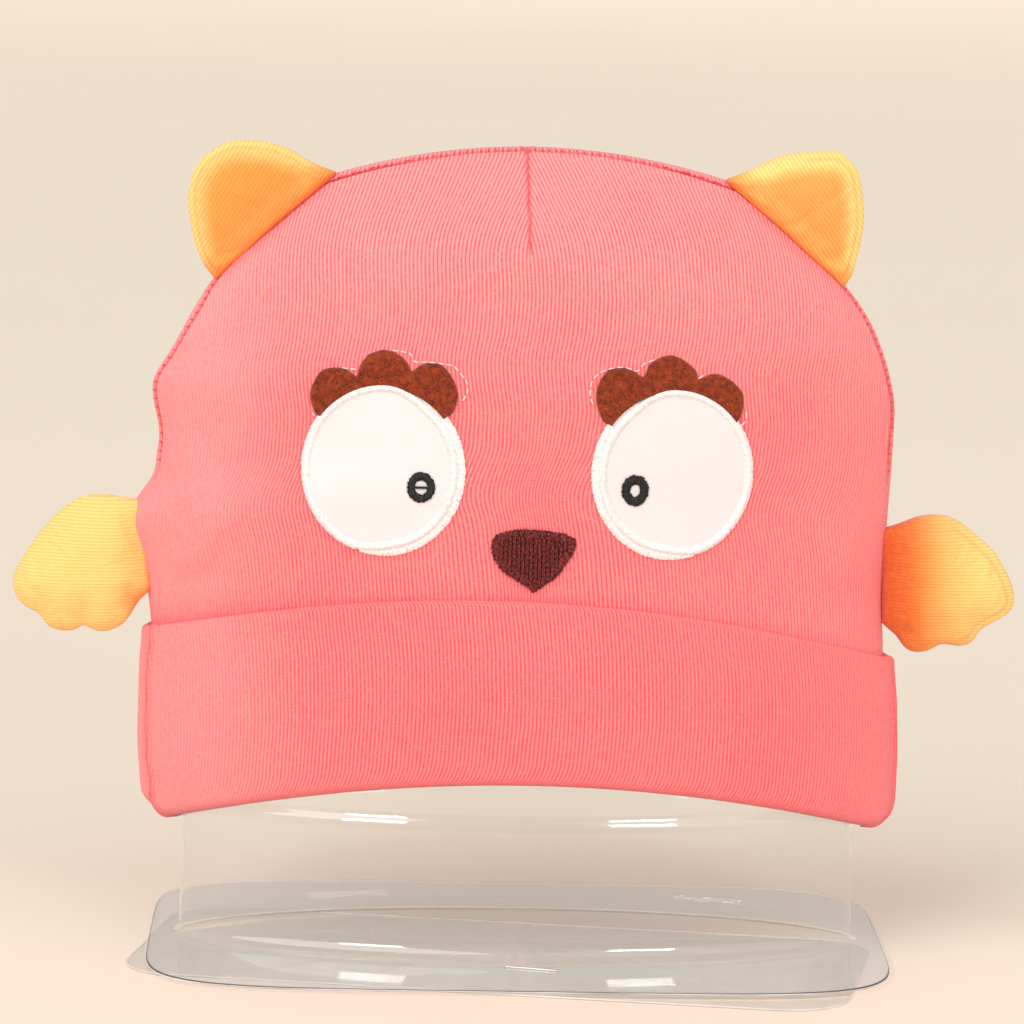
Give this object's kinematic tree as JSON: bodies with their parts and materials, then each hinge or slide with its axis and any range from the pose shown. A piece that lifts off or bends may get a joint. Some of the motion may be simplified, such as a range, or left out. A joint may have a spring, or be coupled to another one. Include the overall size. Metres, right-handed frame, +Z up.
{
  "type": "knit hat on clear display stand",
  "caption": "Coral knitted baby hat with turned-up cuff, yellow ears and wings and a sewn-on animal face, pulled over a clear formed display stand.",
  "frame": {"origin": "on the surface that the base sheet rests on, under the middle of the stand's foot", "axes": "+Z up; the face looks towards -Y; +X is to the right as seen from the front, and left and right in node names are as seen from the front"},
  "size_m": [0.2559, 0.1396, 0.2037],
  "materials": {
    "coral_knit": "matt, fine vertical knit ribs",
    "yellow_knit": "matt, fine knit",
    "white_cotton": "matt, fine diagonal weave",
    "white_thread": "soft sheen, satin stitch",
    "black_thread": "soft sheen, embroidered",
    "brown_felt": "matt mottled felt",
    "maroon_thread": "soft sheen, satin stitch",
    "clear_plastic": "clear, gloss, thin formed sheet"
  },
  "bodies": {
    "root": {"crown_front": "coral_knit", "crown_back": "coral_knit", "cuff": "coral_knit", "ear_left": "yellow_knit", "ear_right": "yellow_knit", "wing_left": "yellow_knit", "wing_right": "yellow_knit", "eye_patch_left": "white_cotton", "eye_patch_right": "white_cotton", "eye_border_left": "white_thread", "eye_border_right": "white_thread", "pupil_left": "black_thread", "pupil_right": "black_thread", "brow_left": "brown_felt", "brow_right": "brown_felt", "nose": "maroon_thread", "display_stand": "clear_plastic", "base_sheet": "clear_plastic"}
  },
  "joints": []
}
